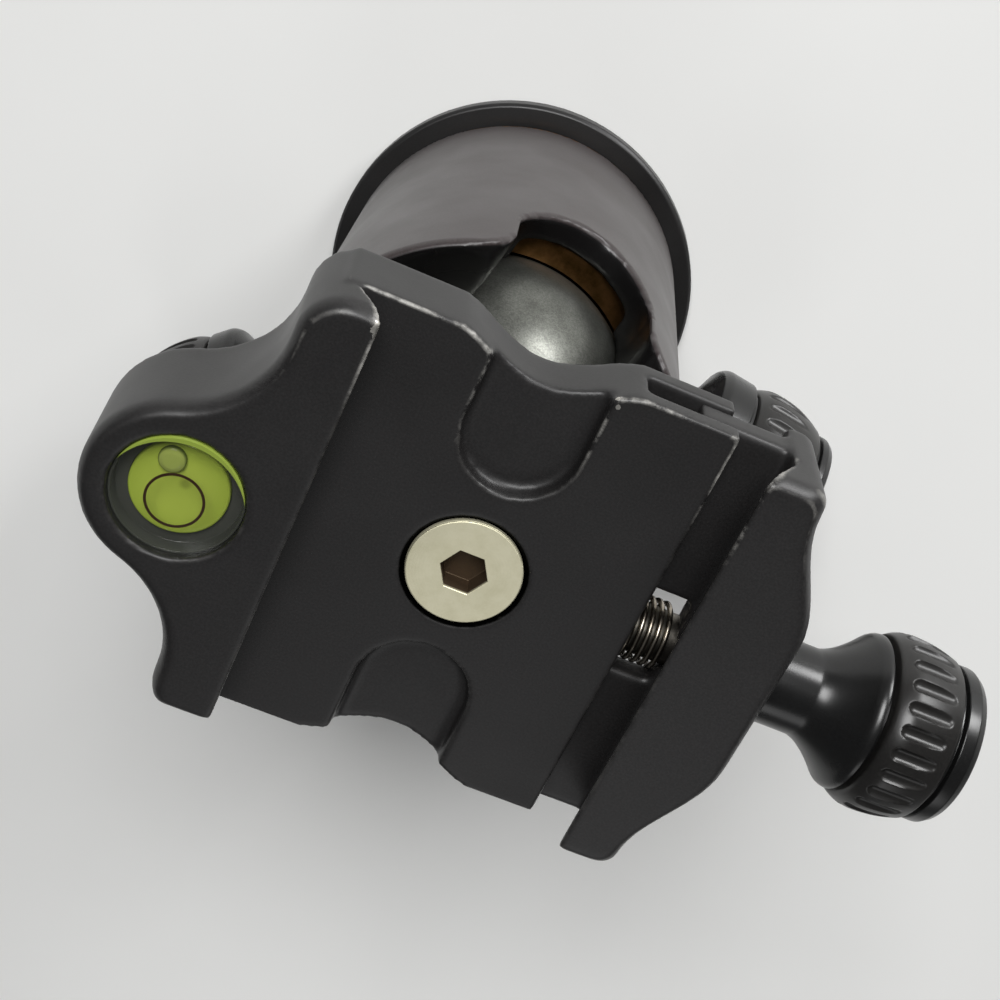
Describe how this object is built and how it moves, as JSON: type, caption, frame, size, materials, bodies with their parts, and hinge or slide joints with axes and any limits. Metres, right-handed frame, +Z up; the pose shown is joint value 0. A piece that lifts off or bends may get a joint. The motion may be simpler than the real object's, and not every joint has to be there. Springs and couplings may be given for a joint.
{
  "type": "tripod ball head",
  "caption": "Tripod ball head with a panning housing, a ball held by a knob-driven wedge, a drop notch and a dovetail quick-release clamp with a bubble level.",
  "frame": {"origin": "centre of the base's underside, on the axis of its 3/8-16 thread", "axes": "+Z up along the panning axis, -Y towards the drop notch; the clamp knob points towards -X in the stored pose"},
  "size_m": [0.0882, 0.0673, 0.0894],
  "materials": {
    "black_anodised": "satin black anodised aluminium",
    "knob_black": "smooth black anodised aluminium, slightly glossier than the housing",
    "knob_grip": "satin black anodised fluted aluminium",
    "ball_grey": "grey hard-anodised, fine grain",
    "inner_aluminium": "machined",
    "bronze": "dull bearing bronze",
    "stainless": "turned stainless steel",
    "spring_steel": "bare spring wire",
    "vial_cup": "clear acrylic seen against black",
    "vial_liquid": "yellow-green level liquid",
    "vial_bubble": "air bubble",
    "vial_lens": "clear acrylic lens"
  },
  "bodies": {
    "base": {"base_plate": "black_anodised", "thread_insert": "stainless", "pan_bearing": "bronze", "pan_retainer": "stainless", "retainer_screws": "stainless"},
    "housing": {"housing": "black_anodised", "housing_plug": "inner_aluminium", "lock_bush": "bronze", "pan_bush": "bronze"},
    "lock_wedge": {"lock_plunger": "stainless"},
    "lock_knob": {"lock_core": "knob_black", "lock_grip": "knob_grip", "lock_cap": "knob_black"},
    "pan_brake": {"pan_shoe": "bronze"},
    "pan_knob": {"pan_core": "knob_black", "pan_grip": "knob_grip", "pan_cap": "knob_black"},
    "piston": {"pressure_piston": "inner_aluminium"},
    "seat_ring": {"ball_seat": "bronze"},
    "ball": {"ball_stem": "ball_grey"},
    "clamp": {"clamp_base": "black_anodised", "clamp_screw": "stainless", "jaw_stud": "stainless", "level_cup": "vial_cup", "level_liquid": "vial_liquid", "level_bubble": "vial_bubble", "level_lens": "vial_lens", "jaw_spring": "spring_steel"},
    "jaw": {"moving_jaw": "black_anodised"},
    "jaw_knob": {"jaw_core": "knob_black", "jaw_grip": "knob_grip", "jaw_cap": "knob_black"}
  },
  "joints": [
    {"name": "pan_turn", "type": "hinge", "parent": "base", "child": "housing", "pos_m": [0, 0, 0], "axis": [0, 0, 1], "continuous": true},
    {"name": "lock_wedge_slide", "type": "slide", "parent": "housing", "child": "lock_wedge", "axis": [-0.9973, -0.0732, 0], "range_m": [0, 0.00075]},
    {"name": "lock_knob_turn", "type": "hinge", "parent": "lock_wedge", "child": "lock_knob", "pos_m": [0, 0, 0.0224], "axis": [-0.9973, -0.0732, 0], "range_deg": [0, 270.5]},
    {"name": "pan_brake_slide", "type": "slide", "parent": "housing", "child": "pan_brake", "axis": [0.5878, 0.809, 0], "range_m": [0, 0.0004]},
    {"name": "pan_knob_turn", "type": "hinge", "parent": "pan_brake", "child": "pan_knob", "pos_m": [0, 0, 0.0126], "axis": [0.5878, 0.809, 0], "range_deg": [0, 180.5]},
    {"name": "piston_slide", "type": "slide", "parent": "housing", "child": "piston", "axis": [0, 0, 1], "range_m": [-0.000425, 0]},
    {"name": "ball_swivel", "type": "hinge", "parent": "piston", "child": "seat_ring", "pos_m": [0, 0, 0.0455], "axis": [0, 0, 1], "range_deg": [-1, 11]},
    {"name": "ball_tilt", "type": "hinge", "parent": "seat_ring", "child": "ball", "pos_m": [0, 0, 0.0455], "axis": [1, 0, 0], "range_deg": [-30, 78]},
    {"name": "clamp_spin", "type": "hinge", "parent": "ball", "child": "clamp", "pos_m": [0, 0, 0.0455], "axis": [-0.0872, 0.0626, 0.9942], "continuous": true},
    {"name": "jaw_slide", "type": "slide", "parent": "clamp", "child": "jaw", "axis": [0.9779, 0.1958, 0.0734], "range_m": [0, 0.005], "deforming": ["jaw_spring"]},
    {"name": "jaw_knob_turn", "type": "hinge", "parent": "jaw", "child": "jaw_knob", "pos_m": [-0.04213, -0.00441, 0.07357], "axis": [0.9779, 0.1958, 0.0734], "range_deg": [0, 2253]}
  ],
  "couplings": [
    {"joint": "lock_knob_turn", "follows": "lock_wedge_slide", "rad_per_m": 6283.2},
    {"joint": "piston_slide", "follows": "lock_wedge_slide", "ratio": -0.56},
    {"joint": "pan_knob_turn", "follows": "pan_brake_slide", "rad_per_m": 7854},
    {"joint": "jaw_knob_turn", "follows": "jaw_slide", "rad_per_m": 7854}
  ]
}
